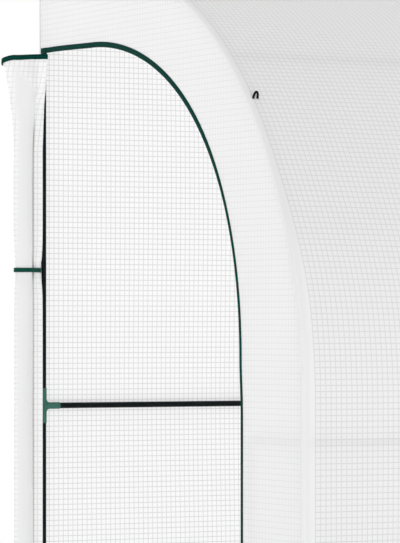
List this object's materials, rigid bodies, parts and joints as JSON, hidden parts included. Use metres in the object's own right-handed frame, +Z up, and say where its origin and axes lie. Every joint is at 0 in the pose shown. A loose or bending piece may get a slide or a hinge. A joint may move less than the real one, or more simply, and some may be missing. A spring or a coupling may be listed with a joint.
{
  "type": "lean-to film greenhouse",
  "caption": "Walk-in lean-to greenhouse: bent steel tubes in moulded joints under a white mesh-film cover, curved front, flat back, open zipped doorways with rolled flaps.",
  "frame": {"origin": "on the ground, at the centre of the footprint's box", "axes": "+X along the length, -Y towards the curved front, +Y towards the flat back, +Z up"},
  "size_m": [3.2566, 1.514, 2.15],
  "materials": {
    "tube": "dark green powder coat",
    "joint": "moulded green plastic",
    "film": "translucent white film over a square mesh of threads",
    "binding": "dark green woven tape",
    "strap": "dark green woven strap",
    "cord": "black braided cord"
  },
  "bodies": {
    "root": {"front_post_1": "tube", "back_post_1": "tube", "arch_1": "tube", "front_post_2": "tube", "back_post_2": "tube", "arch_2": "tube", "front_post_3": "tube", "back_post_3": "tube", "arch_3": "tube", "front_post_4": "tube", "back_post_4": "tube", "arch_4": "tube", "front_base_rail": "tube", "back_base_rail": "tube", "front_mid_rail": "tube", "back_mid_rail": "tube", "roof_purlin": "tube", "back_top_rail": "tube", "left_jamb_frame": "tube", "right_jamb_frame": "tube", "roof_bars": "tube", "front_base_joints": "joint", "back_base_joints": "joint", "front_mid_joints": "joint", "back_mid_joints": "joint", "purlin_joints": "joint", "back_top_joints": "joint", "jamb_joints": "joint", "front_sheet": "film", "roof_sheet_low": "film", "roof_sheet_mid": "film", "roof_sheet_high": "film", "roof_sheet_top": "film", "back_sheet": "film", "left_side_sheet": "film", "right_side_sheet": "film", "left_arch_sheet": "film", "right_arch_sheet": "film", "hinge_strips": "film", "left_door_flap": "film", "right_door_flap": "film", "left_door_binding": "binding", "right_door_binding": "binding", "flap_bindings": "binding", "flap_straps": "strap", "guy_loops": "cord"}
  },
  "joints": []
}
